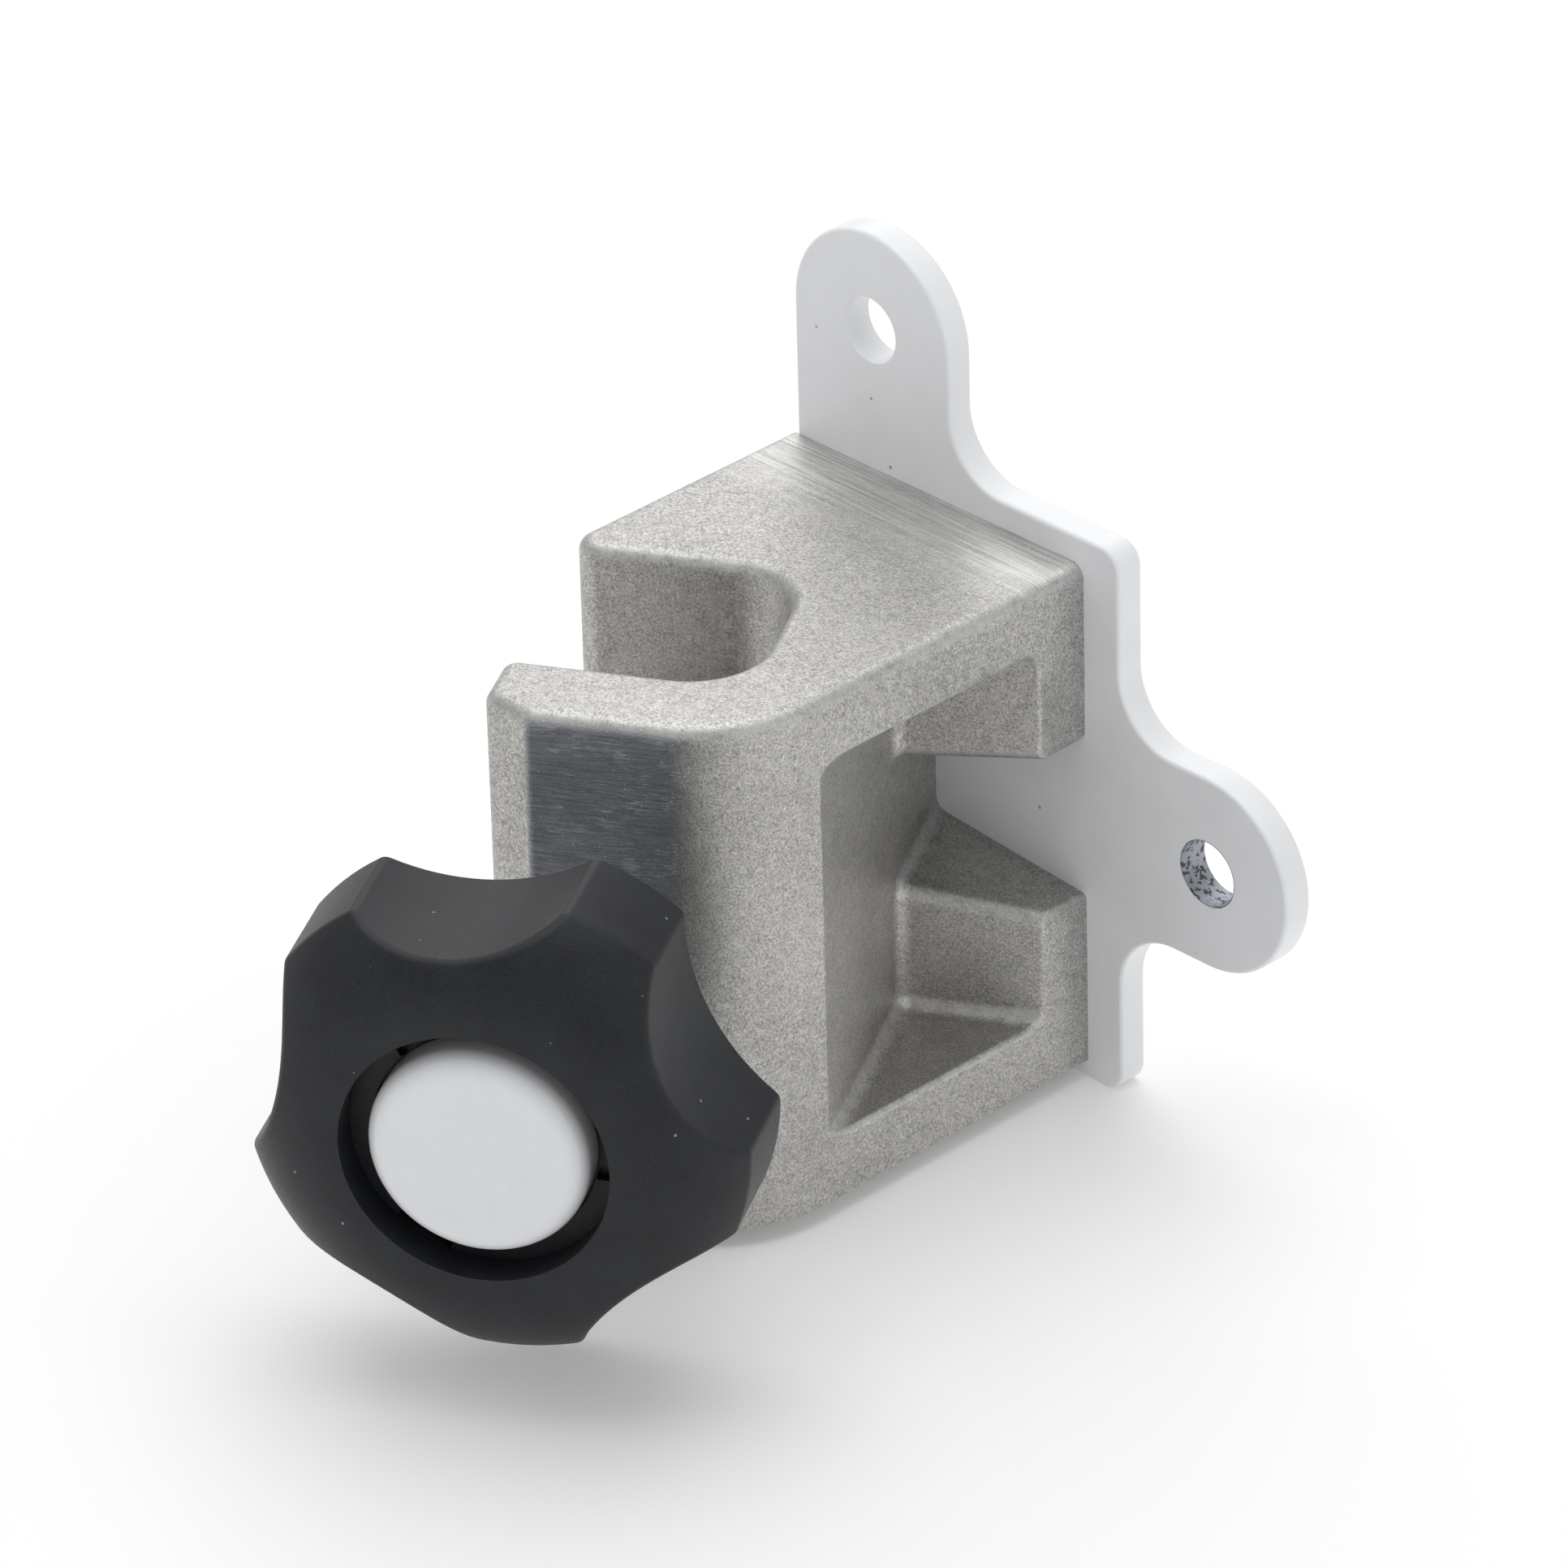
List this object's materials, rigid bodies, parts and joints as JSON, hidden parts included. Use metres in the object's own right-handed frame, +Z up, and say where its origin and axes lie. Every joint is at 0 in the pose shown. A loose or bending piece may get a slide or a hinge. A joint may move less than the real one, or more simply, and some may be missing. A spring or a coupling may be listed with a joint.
{
  "type": "screw clamp bracket",
  "caption": "Cast C-shaped rail clamp on a two-eared mounting plate, tightened by a star knob that drives its spindle only while the push button in its centre is held in.",
  "frame": {"origin": "on the back of the mounting plate, straight below the hole in the upper ear and 33.5 mm below the spindle axis", "axes": "+Z up along the clamped post, +Y out of the back of the plate into what it is fixed to, so the clamp stands towards -Y, and +X towards the side ear"},
  "size_m": [0.0812, 0.115, 0.1011],
  "materials": {
    "powder_coat": "white powder coat, fine texture",
    "cast_aluminium": "bare tumbled casting",
    "zinc_steel": "zinc plated",
    "bright_steel": "turned",
    "spring_steel": "oiled spring steel",
    "brass": "turned",
    "facing_rubber": "matte",
    "knob_plastic": "fine spark-eroded texture",
    "button_plastic": "gloss",
    "clutch_plastic": "matte",
    "bearing_plastic": "natural acetal"
  },
  "bodies": {
    "bracket": {"mounting_plate": "powder_coat", "plate_screws": "zinc_steel", "clamp_body": "cast_aluminium", "spindle_bush": "brass", "bush_pin": "spring_steel"},
    "pad": {"pressure_pad": "bright_steel", "pad_facing": "facing_rubber"},
    "spindle": {"spindle": "bright_steel", "pad_clip": "spring_steel", "thrust_washer": "bearing_plastic", "spindle_hub": "zinc_steel", "hub_pin": "spring_steel", "hub_circlip": "spring_steel", "knob_washer": "zinc_steel", "spring_seat": "zinc_steel"},
    "knob": {"knob_body": "knob_plastic", "knob_bearing": "bearing_plastic"},
    "button": {"push_button": "button_plastic", "clutch_ring": "clutch_plastic", "button_spring": "spring_steel"}
  },
  "joints": [
    {"name": "pad_travel", "type": "slide", "parent": "bracket", "child": "pad", "axis": [-0.5, 0.866, 0], "range_m": [0, 0.0186]},
    {"name": "spindle_turn", "type": "hinge", "parent": "pad", "child": "spindle", "pos_m": [0.01645, -0.06921, 0.0335], "axis": [-0.5, 0.866, 0], "range_deg": [0, 2233]},
    {"name": "knob_turn", "type": "hinge", "parent": "spindle", "child": "knob", "pos_m": [0.02885, -0.09069, 0.0335], "axis": [-0.5, 0.866, 0], "continuous": true},
    {"name": "button_press", "type": "slide", "parent": "knob", "child": "button", "axis": [-0.5, 0.866, 0], "range_m": [0, 0.0025], "stiffness_N_per_m": 800, "springref_m": -0.002, "deforming": ["button_spring"]}
  ],
  "couplings": [
    {"joint": "spindle_turn", "follows": "pad_travel", "rad_per_m": 2094.4}
  ]
}
